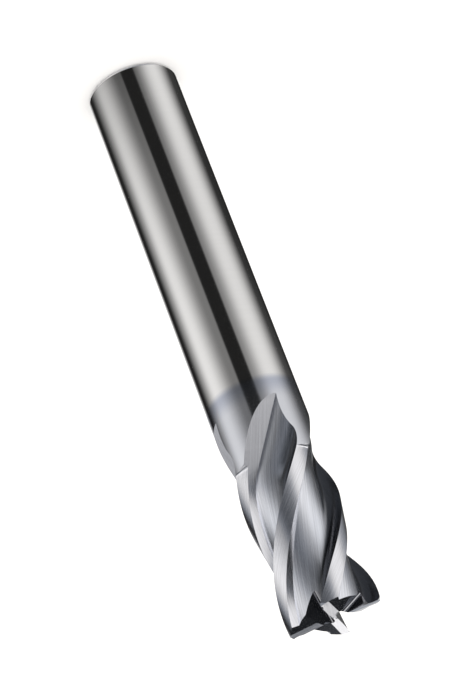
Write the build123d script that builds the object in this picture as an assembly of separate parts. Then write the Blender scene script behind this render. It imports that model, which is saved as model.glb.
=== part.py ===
"""Four-flute square endmill with a plain cylindrical shank, ground from one solid carbide rod.

The tool stands on the flat end of its shank. The origin is the centre of that end and +Z runs
along the axis to the cutting end. The two long end teeth, which cut to the centre, point along
+Y and -Y, and the two short ones along +X and -X. Lengths are in millimetres, angles in degrees.

The shape is made as it is ground: the rod, then the flutes, the lands behind the cutting edges,
the gashes of the end teeth and the clearance behind the end edges. Each cut is drawn once for a
tooth that points along +X, with the cut ahead of it towards +Y, and is turned to the others.
"""

import os
from math import cos, degrees, radians, sin, sqrt, tan

from build123d import *

# Rod, and how much less the cutting diameter is, so that the teeth clear the holder
shank_diameter = 9.525
cutting_clearance = 0.025
overall_length = 63.5
shank_chamfer = 0.35

# Flutes, right-hand helix, seen in the section square to the axis
flute_count = 4
helix_angle = 33.7
core_diameter = 6.27
rake_angle = 10.0
gullet_radius = 1.08
heel_depth = 1.18
heel_span = 3.6

# Where a flute ends, the grinding wheel leaves the helix and runs straight out along a tangent,
# with its change of way eased over a length on both sides
full_flute_length = 15.3
exit_angle = 35.2
exit_heading = 38.3
exit_length = 9.7
exit_easing = 1.2

# Land behind each helical cutting edge
land_width = 1.7
land_length = 16.95
land_relief_angle = 14.0
land_heel_drop = 0.5
land_fade_length = 0.4

# End teeth: cutting edges and the gashes ahead of them
corner_chamfer = 0.25
edge_lead = 0.19
axial_rake = 4.0
gash_angle = 28.0
gash_opening = 50.0
gash_radius = 0.38
long_gash_start = -1.05
short_gash_start = 0.4

# End teeth: relief right behind the edge and the steeper clearance behind that
dish_angle = 1.5
end_relief_width = 0.9
end_relief_overlap = 0.18
end_relief_angle = 9.0
end_clearance_angle = 16.0
long_relief_start = -0.2
long_clearance_start = 0.3
short_relief_start = 0.8

# Spacing of the sections along a cut, and how far each cut runs clear of the rod or its land
section_pitch = 1.0
overrun = 1.0
flute_clearance = 2.85
land_clearance = 0.1
land_overlap = 3.3
land_lead = 0.64

shank_radius = shank_diameter / 2
radius = (shank_diameter - cutting_clearance) / 2
core_radius = core_diameter / 2
tooth_pitch = 360 / flute_count
land_angle = degrees(land_width / radius)
twist_rate = degrees(tan(radians(helix_angle)) / radius)
clear_radius = radius + flute_clearance
chamfer_height = corner_chamfer + shank_radius - radius


def polar(distance, angle):
    """Point in the section at a distance from the axis and an angle."""
    return Vector(distance * cos(radians(angle)), distance * sin(radians(angle)))


def heights(top, bottom):
    """Evenly spaced heights from top down to bottom, about one section pitch apart."""
    steps = max(1, round((top - bottom) / section_pitch))
    return [top + (bottom - top) * step / steps for step in range(steps + 1)]


def make_rod():
    """The rod, chamfered at the shank end and at the cutting corner."""
    outline = Polyline(
        (0, 0),
        (shank_radius - shank_chamfer, 0),
        (shank_radius, shank_chamfer),
        (shank_radius, overall_length - chamfer_height),
        (radius - corner_chamfer, overall_length),
        (0, overall_length),
        close=True,
    )
    return revolve(Plane.XZ * make_face(outline), Axis.Z)


def flute_section():
    """Section of the flute ahead of the tooth, whose cutting edge is at angle 0.

    A straight rake face runs into a round gullet, which ends where it touches the core. From
    there the back of the next tooth rises in one bulging arc to the foot of its heel, and the
    heel is a flat that meets the outside at the back of the land.
    """
    edge = Vector(radius, 0)
    rake_way = polar(1, rake_angle)
    rake_normal = polar(1, rake_angle + 90)
    reach = core_radius + gullet_radius
    offset_edge = edge + rake_normal * gullet_radius
    along = offset_edge.dot(rake_way)
    rake_depth = along - sqrt(along**2 - offset_edge.dot(offset_edge) + reach**2)
    gullet_centre = offset_edge - rake_way * rake_depth
    rake_foot = gullet_centre - rake_normal * gullet_radius
    back_start = gullet_centre * (core_radius / reach)
    back_way = Vector(-gullet_centre.Y, gullet_centre.X).normalized()

    heel_angle = tooth_pitch - land_angle
    heel = polar(radius, heel_angle)
    heel_foot = polar(radius - heel_depth, heel_angle - heel_span)
    heel_way = (heel - heel_foot).normalized()

    rake_end = edge + rake_way * (clear_radius - radius)
    heel_end = heel + heel_way * (clear_radius - radius)
    return make_face(
        [
            Line(rake_end, rake_foot),
            TangentArc(rake_foot, back_start, tangent=-rake_way),
            TangentArc(back_start, heel_foot, tangent=back_way),
            Line(heel_foot, heel_end),
            Line(heel_end, rake_end),
        ]
    )


def length_past(distance):
    """How far a flute has gone along its run-out, eased on both sides of where the helix ends."""
    if abs(distance) < exit_easing:
        return (distance + exit_easing) ** 2 / (4 * exit_easing)
    return max(distance, 0)


def make_flute():
    """One flute: the section twisted along the helix, then carried straight out of the rod."""
    section = flute_section()
    full_end = overall_length - full_flute_length
    last_turn = -full_flute_length * twist_rate
    exit_way = polar(tan(radians(exit_angle)), last_turn + exit_heading - 90)
    sections = []
    for height in heights(overall_length + overrun, full_end - exit_length):
        past = length_past(full_end - height)
        turn = (height + past - overall_length) * twist_rate
        shift = exit_way * past
        sections.append(Pos(shift.X, shift.Y, height) * Rot(0, 0, turn) * section)
    return loft(sections)


def land_section():
    """What is ground off behind the cutting edge: an arc that drops towards the heel."""
    edge = Vector(radius, 0)
    back_way = polar(-1, 90 - land_relief_angle)
    back_angle = -land_angle - land_overlap
    ahead = edge - back_way * land_lead
    heel = polar(radius - land_heel_drop, back_angle)
    outer = radius + overrun
    return make_face(
        [
            Line(ahead, edge),
            TangentArc(edge, heel, tangent=back_way),
            Polyline(heel, polar(outer, back_angle), polar(outer, 0), ahead),
        ]
    )


def make_land():
    """One land: its section twisted along the helix, lifting clear where it starts."""
    section = land_section()
    fade_start = overall_length - land_length + land_fade_length
    fade_middle = fade_start - land_fade_length / 2
    fade_end = overall_length - land_length
    lift_way = polar(land_heel_drop + land_clearance, -land_angle / 2)
    sections = []
    for height in heights(overall_length + overrun, fade_start) + [fade_middle, fade_end]:
        share = max(0, (fade_start - height) / land_fade_length)
        lift = lift_way * share**2
        turn = (height - overall_length) * twist_rate
        sections.append(Rot(0, 0, turn) * Pos(lift.X, lift.Y, height) * section)
    return loft(sections)


def edge_frame(start):
    """Directions along and ahead of an end edge, and its point at a distance out."""
    corner = Vector(radius - corner_chamfer, 0, overall_length)
    inner = Vector(0, edge_lead, overall_length - radius * tan(radians(dish_angle)))
    along = (corner - inner).normalized()
    ahead = Vector(-along.Y, along.X, 0).normalized()
    return along, ahead, inner + along * start


def make_gash(start):
    """Notch ahead of an end tooth: a leaning V with a round bottom, deeper towards the outside.

    Its near side is the tooth's end rake face. Its bottom comes out at the end at the start.
    """
    along, ahead, origin = edge_frame(start)
    up = Vector(0, 0, cos(radians(axial_rake))) + ahead * sin(radians(axial_rake))
    travel = along * cos(radians(gash_angle)) - up * sin(radians(gash_angle))
    rake_normal = along.cross(up) * -1
    back_way = polar(1, 90 - gash_opening)
    back_foot = Vector(gash_radius, gash_radius) + polar(gash_radius, -gash_opening)
    back_top = back_foot + back_way * shank_diameter
    outline = [
        CenterArc((gash_radius, gash_radius), gash_radius, 180, 180 - gash_opening),
        Line(back_foot, back_top),
        Line(back_top, (0, shank_diameter)),
        Line((0, shank_diameter), (0, gash_radius)),
    ]
    frame = Plane(origin=origin, x_dir=rake_normal, z_dir=travel)
    return extrude(frame * make_face(outline), amount=shank_diameter)


def make_end_cut(start, front, back, drop, angle):
    """Wedge above an end tooth that falls away behind its edge, from the start outwards.

    It reaches from front to back, both measured ahead of the edge. At the front its lower face
    is a drop below the edge.
    """
    along, ahead, origin = edge_frame(start)
    outline = Polyline(
        (front, overrun),
        (front, -drop),
        (back, (back - front) * tan(radians(angle)) - drop),
        (back, overrun),
        close=True,
    )
    frame = Plane(origin=origin, x_dir=ahead, z_dir=along)
    return extrude(frame * make_face(outline), amount=shank_diameter)


def make_tooth_end(gash_start, relief_start, clearance_start):
    """The three cuts at the end of one tooth: gash, relief and clearance."""
    slope = tan(radians(end_relief_angle))
    width = end_relief_width
    reach = width + end_relief_overlap
    return [
        make_gash(gash_start),
        make_end_cut(relief_start, overrun, -reach, -overrun * slope, end_relief_angle),
        make_end_cut(
            clearance_start, -width, -shank_diameter, width * slope, end_clearance_angle
        ),
    ]


def make_endmill():
    """The whole tool: the rod less the lands, the flutes and the cuts of the end teeth."""
    turns = [Rot(0, 0, tooth * tooth_pitch) for tooth in range(flute_count)]
    land = make_land()
    flute = make_flute()
    short_end = make_tooth_end(short_gash_start, short_relief_start, short_relief_start)
    long_end = make_tooth_end(long_gash_start, long_relief_start, long_clearance_start)

    tool = make_rod()
    tool -= [turn * land for turn in turns]
    tool -= [turn * flute for turn in turns]
    for turn, cuts in zip(turns, (short_end, long_end) * (flute_count // 2)):
        tool -= [turn * cut for cut in cuts]
    return tool


endmill = make_endmill()
endmill.label = "endmill"
os.makedirs("parts", exist_ok=True)
export_step(endmill, "parts/endmill.step")
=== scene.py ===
"""Looks of a four-flute square endmill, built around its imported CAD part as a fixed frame.

The tool stands on the flat end of its shank at the origin, with its axis along +Z, as the CAD part
does. It is modelled once more here, finer than the CAD mesh and in the order in which the real
tool is ground: the rod, the lands, the flutes, and the gashes and clearances of the end teeth.
The modelling is done in millimetres, and the finished mesh is scaled to metres.
"""

import logging
from contextlib import contextmanager
from dataclasses import dataclass, field
from enum import Enum
from math import atan2, cos, degrees, pi, radians, sin, sqrt, tan
from typing import Iterator

import bpy
from mathutils import Matrix, Vector


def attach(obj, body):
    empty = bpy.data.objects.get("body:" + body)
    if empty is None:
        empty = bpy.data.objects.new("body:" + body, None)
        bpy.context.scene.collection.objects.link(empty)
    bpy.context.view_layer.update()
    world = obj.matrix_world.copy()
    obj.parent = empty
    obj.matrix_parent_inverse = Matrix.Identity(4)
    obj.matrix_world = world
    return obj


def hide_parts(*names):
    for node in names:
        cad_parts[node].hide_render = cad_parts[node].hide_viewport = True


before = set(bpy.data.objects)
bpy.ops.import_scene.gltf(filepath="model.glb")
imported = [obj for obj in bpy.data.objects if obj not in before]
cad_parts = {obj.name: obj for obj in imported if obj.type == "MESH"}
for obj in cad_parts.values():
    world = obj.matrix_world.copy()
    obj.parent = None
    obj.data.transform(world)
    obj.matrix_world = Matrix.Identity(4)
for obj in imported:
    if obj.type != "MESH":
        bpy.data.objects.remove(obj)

log = logging.getLogger("endmill")

MILLIMETRE = 0.001
MARKS = "marks"
UP = Vector((0.0, 0.0, 1.0))

# Points that are closer than this, in millimetres, become one: in an outline and in a spun rod
OUTLINE_SEAM = 0.00001
SPUN_SEAM = 0.0001

# A Mix node has the same socket names for numbers and for colours, so they are told by place
FIRST_NUMBER, SECOND_NUMBER, MIXED_NUMBER = 2, 3, 0
FIRST_COLOUR, SECOND_COLOUR, MIXED_COLOUR = 6, 7, 2

# The value that a noise texture swings about
NOISE_MIDDLE = 0.5

Colour = tuple[float, float, float, float]


class Ground(Enum):
    """How each face of the tool is finished, by the name of its material."""

    SHANK = "polished_shank"
    FLUTE = "ground_flute"
    HEEL = "ground_heel"
    LAND = "ground_land"
    GASH = "ground_gash"
    RELIEF = "ground_relief"


@dataclass(frozen=True)
class ToolSizes:
    """Sizes of the endmill in millimetres and degrees, the same as the CAD part's."""

    # Rod
    shank_diameter: float = 9.525
    cutting_diameter: float = 9.5
    overall_length: float = 63.5
    shank_chamfer: float = 0.35
    # Flutes, right-hand helix, seen in the section square to the axis
    flute_count: int = 4
    helix_angle: float = 33.7
    core_diameter: float = 6.27
    rake_angle: float = 10.0
    gullet_radius: float = 1.08
    heel_depth: float = 1.18
    heel_span: float = 3.6
    # Where a flute ends, the wheel leaves the helix and runs straight out along a tangent
    full_flute_length: float = 15.3
    exit_angle: float = 35.2
    exit_heading: float = 38.3
    exit_length: float = 9.7
    exit_easing: float = 1.2
    # Land behind each helical cutting edge
    land_width: float = 1.7
    land_length: float = 16.95
    land_relief_angle: float = 14.0
    land_heel_drop: float = 0.5
    land_fade_length: float = 0.4
    # End teeth: cutting edges and the gashes ahead of them
    corner_chamfer: float = 0.25
    edge_lead: float = 0.19
    axial_rake: float = 4.0
    gash_angle: float = 28.0
    gash_opening: float = 50.0
    gash_radius: float = 0.38
    # End teeth: relief right behind the edge and the steeper clearance behind that
    dish_angle: float = 1.5
    end_relief_width: float = 0.9
    end_relief_overlap: float = 0.18
    end_relief_angle: float = 9.0
    end_clearance_angle: float = 16.0
    # How far each cut runs clear of the rod or its land
    overrun: float = 1.0
    flute_clearance: float = 2.85
    land_clearance: float = 0.1
    land_overlap: float = 3.3
    land_lead: float = 0.64

    @property
    def shank_radius(self) -> float:
        """Radius of the shank."""
        return self.shank_diameter / 2

    @property
    def radius(self) -> float:
        """Radius of the cutting edges."""
        return self.cutting_diameter / 2

    @property
    def core_radius(self) -> float:
        """Radius of the core that the flutes leave."""
        return self.core_diameter / 2

    @property
    def tooth_pitch(self) -> float:
        """Angle from one tooth to the next."""
        return 360 / self.flute_count

    @property
    def land_angle(self) -> float:
        """Angle that a land takes in the section."""
        return degrees(self.land_width / self.radius)

    @property
    def twist_rate(self) -> float:
        """Degrees that the flutes turn in a millimetre of length."""
        return degrees(tan(radians(self.helix_angle)) / self.radius)

    @property
    def clear_radius(self) -> float:
        """Radius at which a cutter is well clear of the rod."""
        return self.radius + self.flute_clearance


@dataclass(frozen=True)
class ToothEnd:
    """Where the cuts at the end of one kind of tooth start, in millimetres out along its edge."""

    gash_start: float
    relief_start: float
    clearance_start: float


@dataclass(frozen=True)
class Station:
    """Where a section stands on its way: its centre, and its turn about it in degrees."""

    centre: Vector
    turn: float


def polar(distance: float, angle: float) -> Vector:
    """Point in the section at a distance from the axis and an angle in degrees."""
    return Vector((distance * cos(radians(angle)), distance * sin(radians(angle)), 0.0))


def pick(piece: bpy.types.Object) -> None:
    """Selects one object alone and makes it active.

    Args:
        piece: The object.
    """
    bpy.ops.object.select_all(action="DESELECT")
    piece.select_set(True)
    bpy.context.view_layer.objects.active = piece


@contextmanager
def editing(piece: bpy.types.Object) -> Iterator[None]:
    """Edit mode of one object alone, with everything in its mesh selected.

    Args:
        piece: The object.

    Yields:
        Nothing, once the object is in edit mode. Object mode comes back afterwards.
    """
    pick(piece)
    bpy.ops.object.mode_set(mode="EDIT")
    bpy.ops.mesh.select_all(action="SELECT")
    yield
    bpy.ops.object.mode_set(mode="OBJECT")


def turn_piece(piece: bpy.types.Object, angle: float) -> None:
    """Turns a mesh about the tool's axis, in edit mode.

    Args:
        piece: The object of the mesh.
        angle: Angle in degrees, right-handed about the axis. The operator turns the other way.
    """
    with editing(piece):
        bpy.ops.transform.rotate(value=-radians(angle), orient_axis="Z", center_override=(0, 0, 0))


class Outline:
    """A closed outline, drawn point by point by extruding one vertex, then filled."""

    def __init__(self, name: str, start: Vector) -> None:
        """Sets a single vertex down.

        Args:
            name: Name of the new object.
            start: First point of the outline.
        """
        bpy.ops.object.select_all(action="DESELECT")
        bpy.ops.mesh.primitive_plane_add(size=1.0)
        self.piece = bpy.context.object
        self.piece.name = name
        self.points = [start.copy()]
        self.finishes: list[Ground] = []
        bpy.ops.object.mode_set(mode="EDIT")
        bpy.ops.mesh.select_all(action="SELECT")
        bpy.ops.mesh.merge(type="CENTER")
        bpy.ops.transform.translate(value=start)

    def step_to(self, point: Vector, finish: Ground) -> None:
        """Extrudes the last vertex to a point.

        Args:
            point: Where the new vertex comes.
            finish: Finish of the wall that the new edge becomes.
        """
        stride = point - self.points[-1]
        bpy.ops.mesh.extrude_region_move(TRANSFORM_OT_translate={"value": stride})
        self.points.append(point.copy())
        self.finishes.append(finish)

    def line(self, to: Vector, finish: Ground, steps: int = 1) -> None:
        """Draws a straight line in even steps.

        Args:
            to: End of the line.
            finish: Finish of the wall that it becomes.
            steps: Number of steps.
        """
        start = self.points[-1].copy()
        for step in range(1, steps + 1):
            self.step_to(start.lerp(to, step / steps), finish)

    def arc(self, centre: Vector, axis: Vector, angle: float, finish: Ground, steps: int) -> None:
        """Draws an arc about a centre.

        Args:
            centre: Centre of the arc.
            axis: Direction that the arc turns about.
            angle: Angle of the arc in degrees, right-handed about the axis.
            finish: Finish of the wall that it becomes.
            steps: Number of chords.
        """
        arm = self.points[-1] - centre
        for step in range(1, steps + 1):
            turn = Matrix.Rotation(radians(angle) * step / steps, 3, axis)
            self.step_to(centre + turn @ arm, finish)

    def swing(self, to: Vector, tangent: Vector, finish: Ground, steps: int) -> None:
        """Draws the arc in the section that leaves the last point along a tangent and ends at a point.

        Args:
            to: End of the arc.
            tangent: Direction in which the arc leaves the last point.
            finish: Finish of the wall that it becomes.
            steps: Number of chords.
        """
        start = self.points[-1]
        normal = UP.cross(tangent).normalized()
        chord = to - start
        reach = chord.length_squared / (2 * chord.dot(normal))
        centre = start + normal * reach
        before, after = start - centre, to - centre
        angle = degrees(atan2(before.cross(after).z, before.dot(after)))
        self.arc(centre, UP, angle, finish, steps)

    def fill(self, finish: Ground) -> None:
        """Closes the outline with a straight line to its first point and fills it.

        Args:
            finish: Finish of the wall that the closing line becomes.
        """
        self.line(self.points[0], finish)
        self.points.pop()
        bpy.ops.mesh.select_all(action="SELECT")
        bpy.ops.mesh.remove_doubles(threshold=OUTLINE_SEAM)
        bpy.ops.mesh.edge_face_add()

    def extrude_along(self, stations: list[Station]) -> bpy.types.Object:
        """Carries the filled outline through its stations and dresses the walls that it leaves.

        Args:
            stations: Places of the section, the first one where it starts.

        Returns:
            The cutter, closed at both ends.
        """
        self.move(Station(Vector((0, 0, 0)), 0), stations[0])
        for before, after in zip(stations, stations[1:]):
            bpy.ops.mesh.extrude_region_move()
            self.move(before, after)
        bpy.ops.mesh.select_all(action="SELECT")
        bpy.ops.mesh.normals_make_consistent(inside=False)
        bpy.ops.object.mode_set(mode="OBJECT")
        self.dress_walls(stations)
        return self.piece

    def move(self, before: Station, after: Station) -> None:
        """Moves what is selected from one station to the next.

        Args:
            before: Station at which it is.
            after: Station at which it comes.
        """
        bpy.ops.transform.translate(value=after.centre - before.centre)
        turn = radians(after.turn - before.turn)
        if turn:
            bpy.ops.transform.rotate(value=-turn, orient_axis="Z", center_override=after.centre)

    def dress_walls(self, stations: list[Station]) -> None:
        """Gives each wall its finish, and a map that runs across the section and along the way.

        Args:
            stations: Places of the section, as the outline was carried through them.
        """
        mesh = self.piece.data
        ring = len(self.points)
        slots = list(dict.fromkeys(self.finishes))
        for finish in slots:
            mesh.materials.append(bpy.data.materials[finish.value])
        across = [0.0]
        for before, after in zip(self.points, self.points[1:]):
            across.append(across[-1] + (after - before).length)
        along = [0.0]
        for before, after in zip(stations, stations[1:]):
            along.append(along[-1] + (after.centre - before.centre).length)
        marks = mesh.uv_layers.new(name=MARKS)
        for face in mesh.polygons:
            places = sorted({index % ring for index in face.vertices})
            # A wall lies between two points of the outline, while an end has all of them
            if len(places) == 2:
                first = places[0] if places[1] - places[0] == 1 else places[1]
                face.material_index = slots.index(self.finishes[first])
            for loop in face.loop_indices:
                index = mesh.loops[loop].vertex_index
                marks.data[loop].uv = (across[index % ring], along[index // ring])


@dataclass
class Grinding:
    """The rod and the cutters that grind the tool out of it, each as the CAD part has it.

    A pitch is how far apart the sections of a cutter stand, in millimetres, the fine one where a
    land fades out. The steps say how finely each stretch of a section is divided, the rod once
    round, and a straight cutter along its way.
    """

    sizes: ToolSizes
    pitch: float = 0.25
    fade_pitch: float = 0.025
    rod_steps: int = 480
    rake_steps: int = 10
    gullet_steps: int = 24
    back_steps: int = 24
    heel_steps: int = 8
    lead_steps: int = 3
    land_steps: int = 10
    gash_wall_steps: int = 6
    gash_round_steps: int = 26
    relief_steps: int = 12
    straight_steps: int = 8

    def heights(self, top: float, bottom: float, pitch: float) -> list[float]:
        """Evenly spaced heights from top down to bottom, about one pitch apart."""
        steps = max(1, round((top - bottom) / pitch))
        return [top + (bottom - top) * step / steps for step in range(steps + 1)]

    def rod(self) -> bpy.types.Object:
        """The rod, spun from half of its outline.

        Returns:
            The blank that the cutters are taken from.
        """
        s = self.sizes
        corner_height = s.overall_length - s.corner_chamfer - s.shank_radius + s.radius
        outline = Outline("endmill_ground", Vector((0, 0, 0)))
        for distance, height in (
            (s.shank_radius - s.shank_chamfer, 0),
            (s.shank_radius, s.shank_chamfer),
            (s.shank_radius, corner_height),
            (s.radius - s.corner_chamfer, s.overall_length),
            (0, s.overall_length),
        ):
            outline.line(Vector((distance, 0, height)), Ground.SHANK)
        bpy.ops.mesh.select_all(action="SELECT")
        bpy.ops.mesh.spin(steps=self.rod_steps, angle=2 * pi, center=(0, 0, 0), axis=UP)
        bpy.ops.mesh.select_all(action="SELECT")
        bpy.ops.mesh.remove_doubles(threshold=SPUN_SEAM)
        bpy.ops.mesh.normals_make_consistent(inside=False)
        bpy.ops.object.mode_set(mode="OBJECT")
        mesh = outline.piece.data
        mesh.materials.append(bpy.data.materials[Ground.SHANK.value])
        marks = mesh.uv_layers.new(name=MARKS)
        for loop in mesh.loops:
            place = mesh.vertices[loop.vertex_index].co
            marks.data[loop.index].uv = (place.z, place.xy.length)
        return outline.piece

    def flute_outline(self) -> Outline:
        """Section of the flute ahead of the tooth whose cutting edge is at angle 0.

        A straight rake face runs into a round gullet, which ends where it touches the core. From
        there the back of the next tooth rises in one bulging arc to the foot of its heel, and the
        heel is a flat.

        Returns:
            The filled outline, in edit mode.
        """
        s = self.sizes
        edge = polar(s.radius, 0)
        rake_way = polar(1, s.rake_angle)
        rake_normal = polar(1, s.rake_angle + 90)
        reach = s.core_radius + s.gullet_radius
        offset_edge = edge + rake_normal * s.gullet_radius
        along = offset_edge.dot(rake_way)
        rake_depth = along - sqrt(along**2 - offset_edge.length_squared + reach**2)
        gullet_centre = offset_edge - rake_way * rake_depth
        rake_foot = gullet_centre - rake_normal * s.gullet_radius
        heel_angle = s.tooth_pitch - s.land_angle
        heel = polar(s.radius, heel_angle)
        heel_foot = polar(s.radius - s.heel_depth, heel_angle - s.heel_span)
        heel_way = (heel - heel_foot).normalized()
        clear = s.clear_radius - s.radius

        outline = Outline("flute_cutter", edge + rake_way * clear)
        outline.line(rake_foot, Ground.FLUTE, self.rake_steps)
        back_start = gullet_centre * (s.core_radius / reach)
        back_way = UP.cross(gullet_centre).normalized()
        outline.swing(back_start, -rake_way, Ground.FLUTE, self.gullet_steps)
        outline.swing(heel_foot, back_way, Ground.FLUTE, self.back_steps)
        outline.line(heel + heel_way * clear, Ground.HEEL, self.heel_steps)
        outline.fill(Ground.FLUTE)
        return outline

    def flute_cutter(self) -> bpy.types.Object:
        """One flute: the section twisted along the helix, then eased into a straight run-out.

        Returns:
            The cutter.
        """
        s = self.sizes
        top = s.overall_length + s.overrun
        full_end = s.overall_length - s.full_flute_length
        last_turn = -s.full_flute_length * s.twist_rate
        exit_way = polar(tan(radians(s.exit_angle)), last_turn + s.exit_heading - 90)
        stations = []
        for height in self.heights(top, full_end - s.exit_length, self.pitch):
            gone = self.ease(full_end - height)
            turn = (height + gone - s.overall_length) * s.twist_rate
            stations.append(Station(exit_way * gone + UP * height, turn))
        return self.flute_outline().extrude_along(stations)

    def ease(self, past: float) -> float:
        """Distance past the end of the full flute, rounded off on both sides of that end.

        Args:
            past: Plain distance past that end, negative before it.

        Returns:
            The rounded distance.
        """
        easing = self.sizes.exit_easing
        if abs(past) < easing:
            return (past + easing) ** 2 / (4 * easing)
        return max(past, 0.0)

    def land_cutter(self) -> bpy.types.Object:
        """What is ground off behind a cutting edge: an arc that drops towards the heel.

        Returns:
            The cutter.
        """
        s = self.sizes
        edge = polar(s.radius, 0)
        back_way = polar(-1, 90 - s.land_relief_angle)
        back_angle = -s.land_angle - s.land_overlap
        outer = s.radius + s.overrun
        outline = Outline("land_cutter", edge - back_way * s.land_lead)
        outline.line(edge, Ground.LAND, self.lead_steps)
        heel = polar(s.radius - s.land_heel_drop, back_angle)
        outline.swing(heel, back_way, Ground.LAND, self.land_steps)
        outline.line(polar(outer, back_angle), Ground.LAND)
        outline.line(polar(outer, 0), Ground.LAND)
        outline.fill(Ground.LAND)

        fade_start = s.overall_length - s.land_length + s.land_fade_length
        lift_way = polar(s.land_heel_drop + s.land_clearance, -s.land_angle / 2)
        along = self.heights(s.overall_length + s.overrun, fade_start, self.pitch)
        fading = self.heights(fade_start, fade_start - s.land_fade_length, self.fade_pitch)
        stations = []
        for height in along + fading[1:]:
            share = max(0.0, (fade_start - height) / s.land_fade_length)
            turn = (height - s.overall_length) * s.twist_rate
            lift = Matrix.Rotation(radians(turn), 3, UP) @ (lift_way * share**2)
            stations.append(Station(lift + UP * height, turn))
        return outline.extrude_along(stations)

    def edge_frame(self, start: float) -> tuple[Vector, Vector, Vector]:
        """Directions along and ahead of an end edge.

        Args:
            start: Distance out along the edge.

        Returns:
            The direction along the edge, the direction ahead of it, and its point at the start.
        """
        s = self.sizes
        corner = Vector((s.radius - s.corner_chamfer, 0, s.overall_length))
        inner = Vector((0, s.edge_lead, s.overall_length - s.radius * tan(radians(s.dish_angle))))
        along = (corner - inner).normalized()
        ahead = Vector((-along.y, along.x, 0)).normalized()
        return along, ahead, inner + along * start

    def straight_cut(self, outline: Outline, way: Vector) -> bpy.types.Object:
        """Extrudes a filled outline straight along a way by the diameter of the shank.

        Args:
            outline: The filled outline.
            way: Direction of the cut.

        Returns:
            The cutter.
        """
        steps = self.straight_steps
        stride = way * self.sizes.shank_diameter / steps
        return outline.extrude_along([Station(stride * step, 0) for step in range(steps + 1)])

    def gash_cutter(self, start: float) -> bpy.types.Object:
        """Notch ahead of an end tooth: a leaning V with a round bottom, deeper towards the outside.

        Args:
            start: Distance out along the edge at which its bottom comes out at the end.

        Returns:
            The cutter.
        """
        s = self.sizes
        along, ahead, origin = self.edge_frame(start)
        up = UP * cos(radians(s.axial_rake)) + ahead * sin(radians(s.axial_rake))
        travel = along * cos(radians(s.gash_angle)) - up * sin(radians(s.gash_angle))
        across = up.cross(along)
        rise = travel.cross(across)
        centre = origin + (across + rise) * s.gash_radius
        opening = Matrix.Rotation(-radians(s.gash_opening), 3, travel)
        foot = centre - across * s.gash_radius
        reach = s.shank_diameter
        outline = Outline("gash_cutter", foot + rise * reach)
        outline.line(foot, Ground.GASH, self.gash_wall_steps)
        outline.arc(centre, travel, 180 - s.gash_opening, Ground.GASH, self.gash_round_steps)
        back_top = outline.points[-1] + opening @ rise * reach
        outline.line(back_top, Ground.GASH, self.gash_wall_steps)
        outline.fill(Ground.GASH)
        return self.straight_cut(outline, travel)

    def end_cutter(
        self, start: float, front: float, back: float, drop: float, angle: float
    ) -> bpy.types.Object:
        """Wedge above an end tooth that falls away behind its edge.

        Args:
            start: Distance out along the edge at which it starts.
            front: Where it reaches ahead of the edge.
            back: Where it reaches behind the edge, a negative distance.
            drop: How far its lower face is below the edge at the front.
            angle: Angle at which its lower face falls away.

        Returns:
            The cutter.
        """
        along, ahead, origin = self.edge_frame(start)
        rise = along.cross(ahead)
        overrun = self.sizes.overrun
        foot = (back - front) * tan(radians(angle)) - drop
        outline = Outline("end_cutter", origin + ahead * front + rise * overrun)
        outline.line(origin + ahead * front - rise * drop, Ground.RELIEF)
        outline.line(origin + ahead * back + rise * foot, Ground.RELIEF, self.relief_steps)
        outline.line(origin + ahead * back + rise * overrun, Ground.RELIEF)
        outline.fill(Ground.RELIEF)
        return self.straight_cut(outline, along)

    def tooth_cutters(self, tooth: ToothEnd) -> list[bpy.types.Object]:
        """The three cutters for the end of one tooth: gash, relief and clearance.

        Args:
            tooth: Where its cuts start.

        Returns:
            The cutters.
        """
        s = self.sizes
        slope = tan(radians(s.end_relief_angle))
        width = s.end_relief_width
        far = s.shank_diameter
        reach = width + s.end_relief_overlap
        relief = (tooth.relief_start, s.overrun, -reach, -s.overrun * slope, s.end_relief_angle)
        clearance = (tooth.clearance_start, -width, -far, width * slope, s.end_clearance_angle)
        return [
            self.gash_cutter(tooth.gash_start),
            self.end_cutter(*relief),
            self.end_cutter(*clearance),
        ]


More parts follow.
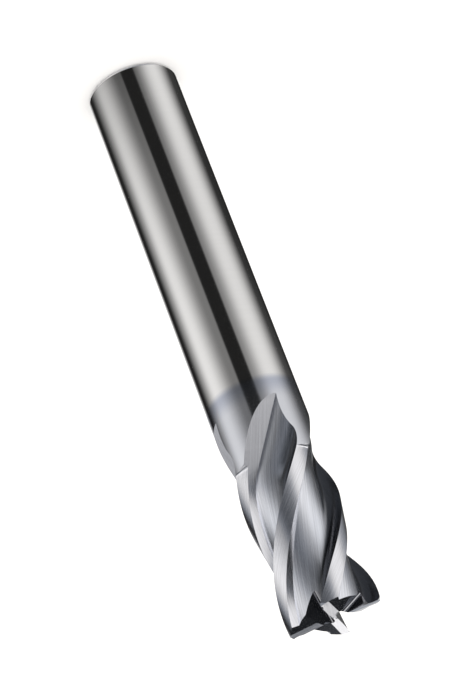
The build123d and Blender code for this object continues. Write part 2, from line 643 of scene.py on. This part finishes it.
@dataclass
class Endmill:
    """The whole tool, ground from one rod.

    Points of the ground mesh that are closer than the merging distance become one, and slivers
    under their width go. Both are in millimetres. Edges that turn by more than the crease angle,
    in degrees, stay sharp.
    """

    sizes: ToolSizes = field(default_factory=ToolSizes)
    short_tooth: ToothEnd = ToothEnd(gash_start=0.4, relief_start=0.8, clearance_start=0.8)
    long_tooth: ToothEnd = ToothEnd(gash_start=-1.05, relief_start=-0.2, clearance_start=0.3)
    merging_distance: float = 0.002
    sliver_width: float = 0.001
    crease_angle: float = 6.0

    def build(self) -> bpy.types.Object:
        """Grinds the rod into the finished tool: the lands, the flutes, then the end teeth.

        Returns:
            The tool, its mesh in metres.
        """
        grinding = Grinding(self.sizes)
        tool = grinding.rod()
        self.grind(tool, self.round_the_axis(grinding.land_cutter()))
        self.grind(tool, self.round_the_axis(grinding.flute_cutter()))
        kinds = (self.short_tooth, self.long_tooth)
        ends = []
        for first, tooth in enumerate(kinds):
            for cutter in grinding.tooth_cutters(tooth):
                turn_piece(cutter, first * self.sizes.tooth_pitch)
                ends += self.copies(cutter, self.sizes.flute_count // len(kinds))
        self.grind(tool, ends)
        self.smooth(tool)
        return tool

    def round_the_axis(self, cutter: bpy.types.Object) -> list[bpy.types.Object]:
        """One copy of a cutter for each tooth."""
        return self.copies(cutter, self.sizes.flute_count)

    def copies(self, cutter: bpy.types.Object, count: int) -> list[bpy.types.Object]:
        """A cutter and its copies, spread evenly round the axis, each with its own mesh.

        Args:
            cutter: The first of them.
            count: How many there are in all.

        Returns:
            All of them.
        """
        made = [cutter]
        while len(made) < count:
            pick(made[-1])
            bpy.ops.object.duplicate()
            turn_piece(bpy.context.object, 360 / count)
            made.append(bpy.context.object)
        return made

    def grind(self, tool: bpy.types.Object, cutters: list[bpy.types.Object]) -> None:
        """Takes the cutters off the tool in one pass and removes them.

        Args:
            tool: The tool so far.
            cutters: Closed meshes, which may overlap.
        """
        batch = bpy.data.collections.new("cutters")
        bpy.context.scene.collection.children.link(batch)
        for cutter in cutters:
            batch.objects.link(cutter)
        cut = tool.modifiers.new("cut", "BOOLEAN")
        cut.operation = "DIFFERENCE"
        cut.solver = "EXACT"
        cut.operand_type = "COLLECTION"
        cut.collection = batch
        cut.material_mode = "TRANSFER"
        pick(tool)
        bpy.ops.object.modifier_apply(modifier=cut.name)
        for cutter in cutters:
            bpy.data.objects.remove(cutter)
        bpy.data.collections.remove(batch)
        log.info("%s: %d faces after %d cuts", tool.name, len(tool.data.polygons), len(cutters))

    def smooth(self, tool: bpy.types.Object) -> None:
        """Cleans the mesh, scales it to metres and shades it smooth up to its ground edges.

        Args:
            tool: The ground tool.
        """
        with editing(tool):
            bpy.ops.mesh.remove_doubles(threshold=self.merging_distance)
            bpy.ops.mesh.dissolve_degenerate(threshold=self.sliver_width)
            bpy.ops.transform.resize(value=(MILLIMETRE,) * 3, center_override=(0, 0, 0))
        bpy.ops.object.shade_smooth_by_angle(angle=radians(self.crease_angle))


class Nodes:
    """A node tree that is written as short calls."""

    def __init__(self, tree: bpy.types.NodeTree) -> None:
        """Takes a node tree to build in."""
        self.tree = tree

    def add(self, kind: str, **settings: object) -> bpy.types.Node:
        """Adds a node.

        Args:
            kind: Type of the node.
            settings: Its properties, by name.

        Returns:
            The node.
        """
        node = self.tree.nodes.new(kind)
        for name, value in settings.items():
            setattr(node, name, value)
        return node

    def feed(self, socket: bpy.types.NodeSocket, value: object) -> None:
        """Links a socket to another one, or sets it to a plain value.

        Args:
            socket: The input.
            value: An output, or the plain value.
        """
        if isinstance(value, bpy.types.NodeSocket):
            self.tree.links.new(value, socket)
        else:
            socket.default_value = value

    def math(self, operation: str, *values: object) -> bpy.types.NodeSocket:
        """Works something out with a Math node.

        Args:
            operation: What the node does.
            values: Sockets or numbers that it takes.

        Returns:
            Its result.
        """
        node = self.add("ShaderNodeMath", operation=operation)
        for socket, value in zip(node.inputs, values):
            self.feed(socket, value)
        return node.outputs[0]

    def blend(self, factor: object, first: object, second: object) -> bpy.types.NodeSocket:
        """Blends two colours.

        Args:
            factor: Share of the second.
            first: The first colour.
            second: The second colour.

        Returns:
            The colour between them.
        """
        node = self.add("ShaderNodeMix", data_type="RGBA")
        self.feed(node.inputs["Factor"], factor)
        self.feed(node.inputs[FIRST_COLOUR], first)
        self.feed(node.inputs[SECOND_COLOUR], second)
        return node.outputs[MIXED_COLOUR]

    def shade(self, colour: object, tone: bpy.types.NodeSocket) -> bpy.types.NodeSocket:
        """Darkens or lightens a colour.

        Args:
            colour: The colour.
            tone: What it is multiplied by.

        Returns:
            The shaded colour.
        """
        node = self.add("ShaderNodeMix", data_type="RGBA", blend_type="MULTIPLY")
        node.inputs["Factor"].default_value = 1.0
        self.feed(node.inputs[FIRST_COLOUR], colour)
        self.feed(node.inputs[SECOND_COLOUR], tone)
        return node.outputs[MIXED_COLOUR]

    def ramp(
        self, value: object, low: float, high: float, to_low: float, to_high: float
    ) -> bpy.types.NodeSocket:
        """Goes smoothly from one value to another between two limits.

        Args:
            value: What is looked at.
            low: Its lower limit.
            high: Its upper limit.
            to_low: The result up to the lower limit.
            to_high: The result from the upper limit on.

        Returns:
            The result.
        """
        node = self.add("ShaderNodeMapRange", interpolation_type="SMOOTHSTEP")
        for name, number in (
            ("Value", value),
            ("From Min", low),
            ("From Max", high),
            ("To Min", to_low),
            ("To Max", to_high),
        ):
            self.feed(node.inputs[name], number)
        return node.outputs["Result"]

    def noise(self, vector: object, scale: float, detail: float) -> bpy.types.NodeSocket:
        """Looks up a noise texture.

        Args:
            vector: Where it is looked up.
            scale: How fine it is.
            detail: How many octaves it has.

        Returns:
            Its value.
        """
        node = self.add("ShaderNodeTexNoise")
        self.feed(node.inputs["Vector"], vector)
        node.inputs["Scale"].default_value = scale
        node.inputs["Detail"].default_value = detail
        return node.outputs["Fac"]


def new_group(
    name: str, inputs: dict[str, float], outputs: list[str]
) -> tuple[bpy.types.NodeTree, Nodes]:
    """An empty shader node group with named number sockets.

    Args:
        name: Name of the group.
        inputs: Each input with its default value.
        outputs: Names of the outputs.

    Returns:
        The group, and a writer for it.
    """
    tree = bpy.data.node_groups.new(name, "ShaderNodeTree")
    for socket, value in inputs.items():
        made = tree.interface.new_socket(socket, in_out="INPUT", socket_type="NodeSocketFloat")
        made.default_value = value
    for socket in outputs:
        tree.interface.new_socket(socket, in_out="OUTPUT", socket_type="NodeSocketFloat")
    return tree, Nodes(tree)


def coating_group() -> bpy.types.NodeTree:
    """Group that tells where the coating is: 0 on the bare shank and 1 towards the cutting end.

    The coating ends along a soft line round the shank that wanders a little. Line is its height
    and Fade is half of its width, in metres. The band lies along it, between limits that are
    counted in fades.

    Returns:
        The group, with the mask and the narrow band along the coating's edge as outputs.
    """
    wander_scale, wander_detail, wander_reach = 120.0, 2.0, 0.0006
    band_start, band_peak, band_end = -1.0, 0.6, 4.0
    tree, nodes = new_group("coating_edge", {"Line": 0.039, "Fade": 0.0006}, ["Coated", "Band"])
    given = nodes.add("NodeGroupInput")
    result = nodes.add("NodeGroupOutput")
    place = nodes.add("ShaderNodeTexCoord").outputs["Object"]
    height = nodes.add("ShaderNodeSeparateXYZ")
    nodes.feed(height.inputs[0], place)
    waves = nodes.noise(place, wander_scale, wander_detail)
    wander = nodes.math("MULTIPLY", nodes.math("SUBTRACT", waves, NOISE_MIDDLE), wander_reach)
    level = nodes.math("ADD", height.outputs["Z"], wander)
    past = nodes.math("SUBTRACT", level, given.outputs["Line"])
    share = nodes.math("DIVIDE", past, given.outputs["Fade"])
    nodes.feed(result.inputs["Coated"], nodes.ramp(share, -1.0, 1.0, 0.0, 1.0))
    rising = nodes.ramp(share, band_start, band_peak, 0.0, 1.0)
    falling = nodes.ramp(share, band_peak, band_end, 1.0, 0.0)
    nodes.feed(result.inputs["Band"], nodes.math("MULTIPLY", rising, falling))
    return tree


def grinding_group() -> bpy.types.NodeTree:
    """Group of fine grinding lines that run along each cut.

    Across and Along say how many there are in a millimetre, across the cut and along it, and Slant
    how much they lean.

    Returns:
        The group, with the height of the lines and the place across the cut as outputs.
    """
    line_detail = 4.0
    tree, nodes = new_group(
        "grinding_marks", {"Across": 9.0, "Along": 0.12, "Slant": 0.0}, ["Height", "Place"]
    )
    given = nodes.add("NodeGroupInput")
    result = nodes.add("NodeGroupOutput")
    chart = nodes.add("ShaderNodeUVMap", uv_map=MARKS)
    parts = nodes.add("ShaderNodeSeparateXYZ")
    nodes.feed(parts.inputs[0], chart.outputs[0])
    across, along = parts.outputs["X"], parts.outputs["Y"]
    slanted = nodes.math("MULTIPLY_ADD", along, given.outputs["Slant"], across)
    stretched = nodes.add("ShaderNodeCombineXYZ")
    nodes.feed(stretched.inputs["X"], nodes.math("MULTIPLY", slanted, given.outputs["Across"]))
    nodes.feed(stretched.inputs["Y"], nodes.math("MULTIPLY", along, given.outputs["Along"]))
    nodes.feed(result.inputs["Height"], nodes.noise(stretched.outputs[0], 1.0, line_detail))
    nodes.feed(result.inputs["Place"], across)
    return tree


@dataclass(frozen=True)
class GroundFinish:
    """How one kind of face is finished.

    The colours are the bare carbide's and the coated carbide's. The lines are the grinding lines,
    by how many there are in a millimetre, how long they run, how they slant against the way of the
    cut, how high they are in metres, how deep they look and how much they change the tone and the
    roughness. The hollow of a flute gets painted shade: its colour is darker up to a place across
    its section, in millimetres.
    """

    bare_colour: Colour = (0.695, 0.685, 0.675, 1.0)
    coated_colour: Colour = (0.563, 0.57, 0.603, 1.0)
    band_colour: Colour = (0.40, 0.42, 0.48, 1.0)
    bare_roughness: float = 0.08
    coated_roughness: float = 0.20
    metallic: float = 1.0
    lines_across: float = 7.0
    lines_along: float = 0.12
    slant: float = -0.22
    line_height: float = 0.00002
    line_depth: float = 0.4
    line_tone: float = 0.6
    line_roughness: float = 0.1
    hollow_shade_end: float = 4.9
    hollow_shade_fade: float = 0.5
    hollow_shade_tone: float = 1.0

    def make(self, ground: Ground) -> bpy.types.Material:
        """Builds the material of one kind of face.

        Args:
            ground: The kind of face, which names the material.

        Returns:
            The material.
        """
        material = bpy.data.materials.new(ground.value)
        material.use_nodes = True
        nodes = Nodes(material.node_tree)
        shader = material.node_tree.nodes["Principled BSDF"]
        coating = nodes.add("ShaderNodeGroup", node_tree=bpy.data.node_groups["coating_edge"])
        lines = nodes.add("ShaderNodeGroup", node_tree=bpy.data.node_groups["grinding_marks"])
        lines.inputs["Across"].default_value = self.lines_across
        lines.inputs["Along"].default_value = self.lines_along
        lines.inputs["Slant"].default_value = self.slant
        coated = coating.outputs["Coated"]
        line = nodes.math("SUBTRACT", lines.outputs["Height"], NOISE_MIDDLE)
        colour = nodes.blend(coated, self.bare_colour, self.coated_colour)
        colour = nodes.blend(coating.outputs["Band"], colour, self.band_colour)
        # Painted shade: the colour darkens over the flute's rake face and gullet, up to a place across
        # the section
        first, last = self.hollow_shade_end - self.hollow_shade_fade, self.hollow_shade_end + self.hollow_shade_fade
        shade = nodes.ramp(lines.outputs["Place"], first, last, self.hollow_shade_tone, 1.0)
        lined = nodes.math("MULTIPLY_ADD", line, self.line_tone, 1.0)
        colour = nodes.shade(colour, nodes.math("MULTIPLY", lined, shade))
        nodes.feed(shader.inputs["Base Color"], colour)
        smooth = nodes.ramp(coated, 0.0, 1.0, self.bare_roughness, self.coated_roughness)
        rough = nodes.math("MULTIPLY_ADD", line, self.line_roughness, smooth)
        nodes.feed(shader.inputs["Roughness"], rough)
        shader.inputs["Metallic"].default_value = self.metallic
        bump = nodes.add("ShaderNodeBump")
        bump.inputs["Strength"].default_value = self.line_depth
        bump.inputs["Distance"].default_value = self.line_height
        nodes.feed(bump.inputs["Height"], lines.outputs["Height"])
        nodes.feed(shader.inputs["Normal"], bump.outputs["Normal"])
        return material


FINISHES = {
    Ground.SHANK: GroundFinish(
        coated_roughness=0.14,
        lines_across=12.0,
        lines_along=0.5,
        slant=0.0,
        line_depth=0.03,
        line_tone=0.06,
    ),
    # The flute's hollow gets painted shade, down to 0.22 of its colour
    Ground.FLUTE: GroundFinish(
        coated_colour=(0.555, 0.57, 0.615, 1.0), coated_roughness=0.22, hollow_shade_tone=0.22
    ),
    Ground.HEEL: GroundFinish(line_depth=0.2, line_tone=0.4),
    Ground.LAND: GroundFinish(line_depth=0.2, line_tone=0.4),
    Ground.GASH: GroundFinish(
        coated_colour=(0.42, 0.425, 0.45, 1.0),
        coated_roughness=0.14,
        line_depth=0.2,
        line_tone=0.4,
    ),
    Ground.RELIEF: GroundFinish(coated_roughness=0.12, line_depth=0.1, line_tone=0.2),
}


@dataclass
class Camera:
    """The camera of the photograph.

    Its aim, distance, lens and sensor are in millimetres, its angles in degrees, and what it sees
    lies between the near and far limits, in metres. The roll hangs the tool tip down.
    """

    aim: tuple[float, float, float] = (-0.154, 0.032, 32.737)
    distance: float = 303.43
    azimuth: float = -11.8
    elevation: float = 27.064
    roll: float = 158.966
    lens: float = 156.6
    sensor: float = 36.0
    near: float = 0.01
    far: float = 20.0

    def build(self) -> None:
        """Makes the camera and sets it as the scene's."""
        data = bpy.data.cameras.new("photo_camera")
        data.sensor_fit = "VERTICAL"
        data.sensor_height = self.sensor
        data.lens = self.lens
        data.clip_start = self.near
        data.clip_end = self.far
        camera = bpy.data.objects.new("photo_camera", data)
        turn = (
            Matrix.Rotation(radians(self.azimuth), 4, "Z")
            @ Matrix.Rotation(radians(90 - self.elevation), 4, "X")
            @ Matrix.Rotation(radians(self.roll), 4, "Z")
        )
        back = turn @ Vector((0.0, 0.0, self.distance))
        camera.matrix_world = Matrix.Translation((Vector(self.aim) + back) * MILLIMETRE) @ turn
        bpy.context.scene.collection.objects.link(camera)
        bpy.context.scene.camera = camera


@dataclass(frozen=True)
class SoftPanel:
    """A soft light panel, or a dark card, by the directions that it fills from the tool.

    It stands at an azimuth and reaches as far as its half width to both sides, with sides that
    fade over the softness, and from low to high, with an edge that fades. All are in degrees. A
    card's brightness is the share of the light that it takes away.
    """

    name: str
    azimuth: float
    half_width: float
    softness: float
    low: float
    high: float
    edge: float
    brightness: float = 1.0


@dataclass
class Studio:
    """The plain studio: a pale floor, soft light from all round, and soft panels beside the tool.

    The two main panels stand low on both sides of the camera's view, each with a brighter upper
    part. The others stand over, behind and under the tool, for its flutes, lands and end teeth to
    reflect. Dark cards stand between them round the camera and leave the black strip along the
    shank. Dim light is a little cooler and bright light a little warmer, and brightnesses from the
    dim end to the bright start go from the one to the other. The part of the room that the bare
    shank reflects, round the neutral height, is neutral instead.
    """

    floor_size: float = 6.0
    floor_cuts: int = 4
    floor_colour: Colour = (0.9, 0.9, 0.9, 1.0)
    floor_roughness: float = 0.9
    floor_cloud_scale: float = 3.0
    floor_cloud_detail: float = 2.0
    floor_cloud_tone: float = 0.99
    room_light: float = 1.5
    dim_light: float = 0.02
    dim_colour: Colour = (0.93, 0.99, 1.10, 1.0)
    dim_end: float = 0.2
    bright_colour: Colour = (1.02, 1.0, 0.975, 1.0)
    bright_start: float = 0.9
    neutral_colour: Colour = (1.0, 1.0, 1.0, 1.0)
    neutral_height: float = -27.0
    neutral_reach: float = 7.0
    panels: tuple[SoftPanel, ...] = (
        SoftPanel("left", 185.5, 26.5, 26.5, low=-41.0, high=24.0, edge=2.0, brightness=0.92),
        SoftPanel("right", 337.0, 28.5, 27.0, low=-34.0, high=25.0, edge=8.0, brightness=0.86),
        SoftPanel("between", 275.0, 78.0, 14.0, low=-32.5, high=-11.0, edge=3.0, brightness=0.23),
        SoftPanel("left wall", 185.5, 69.0, 23.0, low=-21.5, high=21.0, edge=10.0, brightness=0.42),
        SoftPanel("right strip", 315.0, 42.0, 27.0, low=-5.5, high=13.5, edge=4.0, brightness=1.55),
        SoftPanel("left foot", 178.0, 65.0, 20.0, low=-86.0, high=-36.0, edge=8.5, brightness=0.2),
        SoftPanel("right foot", 307.5, 39.0, 10.0, low=-55.0, high=-40.0, edge=4.0, brightness=0.38),
        SoftPanel("over camera", 271.0, 58.5, 27.0, low=28.5, high=50.0, edge=4.5, brightness=1.5),
        SoftPanel("left strip", 137.5, 32.5, 10.0, low=-6.0, high=22.0, edge=6.0, brightness=1.3),
        SoftPanel("end glint", 77.5, 8.0, 2.5, low=13.5, high=37.5, edge=4.5, brightness=1.65),
        SoftPanel("back", 70.0, 17.0, 12.0, low=-60.0, high=6.0, edge=10.0, brightness=0.75),
        SoftPanel("high", 271.0, 58.5, 27.0, low=50.0, high=85.0, edge=4.5, brightness=0.4),
        SoftPanel("right land", 106.0, 18.0, 8.0, low=36.0, high=60.0, edge=3.0, brightness=1.8),
        SoftPanel("left land", 20.0, 22.0, 10.0, low=48.0, high=75.0, edge=6.0, brightness=0.9),
        SoftPanel("below", 0.0, 180.0, 0.0, low=-95.0, high=-51.0, edge=4.0, brightness=0.5),
        SoftPanel("below back", 20.0, 40.0, 35.0, low=-95.0, high=-51.0, edge=4.0, brightness=0.35),
    )
    cards: tuple[SoftPanel, ...] = (
        SoftPanel("camera card", 254.5, 16.5, 3.0, low=-90.0, high=-19.5, edge=5.0),
        SoftPanel("upper card", 235.0, 26.0, 14.0, low=-8.5, high=25.0, edge=2.5, brightness=0.8),
    )

    def build(self) -> None:
        """Makes the floor and the light."""
        self.lay_floor()
        self.light_room()

    def lay_floor(self) -> None:
        """A wide pale floor, hidden from the tool's reflections, which show the panels instead."""
        bpy.ops.object.select_all(action="DESELECT")
        bpy.ops.mesh.primitive_plane_add(size=self.floor_size)
        floor = bpy.context.object
        floor.name = "studio_floor"
        with editing(floor):
            bpy.ops.mesh.subdivide(number_cuts=self.floor_cuts)
        floor.visible_glossy = False
        material = bpy.data.materials.new("pale_floor")
        material.use_nodes = True
        nodes = Nodes(material.node_tree)
        shader = material.node_tree.nodes["Principled BSDF"]
        place = nodes.add("ShaderNodeTexCoord").outputs["Object"]
        cloud = nodes.noise(place, self.floor_cloud_scale, self.floor_cloud_detail)
        tone = nodes.ramp(cloud, 0.0, 1.0, self.floor_cloud_tone, 1.0)
        nodes.feed(shader.inputs["Base Color"], nodes.shade(self.floor_colour, tone))
        shader.inputs["Roughness"].default_value = self.floor_roughness
        floor.data.materials.append(material)

    def light_room(self) -> None:
        """Even light from all round, and the soft panels for what the metal reflects."""
        world = bpy.data.worlds.new("studio")
        bpy.context.scene.world = world
        world.use_nodes = True
        world.cycles.sampling_method = "NONE"
        nodes = Nodes(world.node_tree)
        background = world.node_tree.nodes["Background"]
        way = nodes.add("ShaderNodeTexCoord").outputs["Generated"]
        parts = nodes.add("ShaderNodeSeparateXYZ")
        nodes.feed(parts.inputs[0], way)
        turned = nodes.math("ARCTAN2", parts.outputs["Y"], parts.outputs["X"])
        heading = nodes.math("DEGREES", turned)
        height = nodes.math("DEGREES", nodes.math("ARCSINE", parts.outputs["Z"]))
        lit: object = 0.0
        for panel in self.panels:
            lit = nodes.math("ADD", lit, self.panel_light(nodes, panel, heading, height))
        for card in self.cards:
            open_way = nodes.math("SUBTRACT", 1.0, self.panel_light(nodes, card, heading, height))
            lit = nodes.math("MULTIPLY", lit, open_way)
        seen = nodes.math("ADD", lit, self.dim_light)
        path = nodes.add("ShaderNodeLightPath")
        light = nodes.add("ShaderNodeMix", data_type="FLOAT")
        nodes.feed(light.inputs["Factor"], path.outputs["Is Glossy Ray"])
        nodes.feed(light.inputs[FIRST_NUMBER], self.room_light)
        nodes.feed(light.inputs[SECOND_NUMBER], seen)
        strength = light.outputs[MIXED_NUMBER]
        nodes.feed(background.inputs["Strength"], strength)
        glow = nodes.ramp(strength, self.dim_end, self.bright_start, 0.0, 1.0)
        tint = nodes.blend(glow, self.dim_colour, self.bright_colour)
        off_level = nodes.math("ABSOLUTE", nodes.math("SUBTRACT", height, self.neutral_height))
        level = nodes.ramp(off_level, self.neutral_reach, 2 * self.neutral_reach, 1.0, 0.0)
        nodes.feed(background.inputs["Color"], nodes.blend(level, tint, self.neutral_colour))

    def panel_light(
        self, nodes: Nodes, panel: SoftPanel, heading: bpy.types.NodeSocket, height: bpy.types.NodeSocket
    ) -> bpy.types.NodeSocket:
        """Brightness of one panel in the direction that is looked in.

        Args:
            nodes: Writer for the world's nodes.
            panel: The panel.
            heading: Azimuth of the direction, in degrees.
            height: Elevation of the direction, in degrees.

        Returns:
            The socket with its brightness.
        """
        offset = nodes.math("SUBTRACT", heading, panel.azimuth)
        aside = nodes.math("ABSOLUTE", nodes.math("WRAP", offset, 180.0, -180.0))
        inner, outer = panel.half_width - panel.softness, panel.half_width + panel.softness
        sideways = nodes.ramp(aside, inner, outer, 1.0, 0.0)
        above = nodes.ramp(height, panel.low - panel.edge, panel.low + panel.edge, 0.0, 1.0)
        below = nodes.ramp(height, panel.high - panel.edge, panel.high + panel.edge, 1.0, 0.0)
        inside = nodes.math("MULTIPLY", nodes.math("MULTIPLY", sideways, above), below)
        light = nodes.math("MULTIPLY", inside, panel.brightness)
        light.node.label = panel.name
        return light


def main() -> None:
    logging.basicConfig(level=logging.INFO, format="%(name)s: %(message)s")
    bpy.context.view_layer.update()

    coating_group()
    grinding_group()
    for ground, finish in FINISHES.items():
        finish.make(ground)
    log.info("finishes: %d", len(FINISHES))

    tool = Endmill().build()
    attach(tool, "root")
    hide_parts("endmill")
    log.info("%s: %d faces", tool.name, len(tool.data.polygons))

    Studio().build()
    Camera().build()
    bpy.context.scene.view_settings.view_transform = "Standard"


if __name__ == "__main__":
    main()
